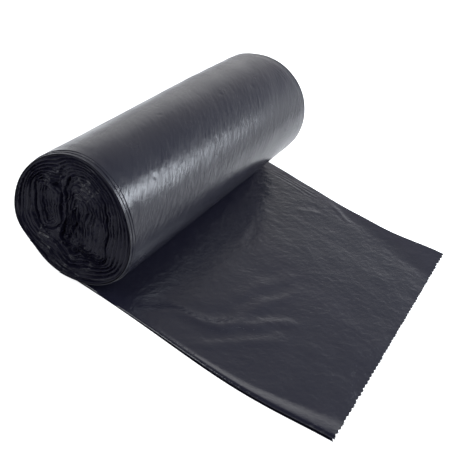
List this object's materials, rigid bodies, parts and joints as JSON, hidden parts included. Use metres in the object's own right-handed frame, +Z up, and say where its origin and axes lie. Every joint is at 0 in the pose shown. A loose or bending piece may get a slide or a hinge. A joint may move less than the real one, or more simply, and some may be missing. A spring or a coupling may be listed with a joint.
{
  "type": "bin bag roll",
  "caption": "Coreless roll of black plastic refuse sacks lying on its side, with the first sack unrolled flat in front of it up to its torn perforated edge",
  "frame": {"origin": "on the surface that the roll lies on, under the middle of the roll's flat spot", "axes": "X runs along the roll, -Y points to the torn edge of the unrolled sack, Z is up"},
  "size_m": [0.3574, 0.3139, 0.1113],
  "materials": {
    "black_film": "glossy black polyethylene film with fine wrinkles"
  },
  "bodies": {
    "root": {"bag_roll": "black_film"}
  },
  "joints": []
}
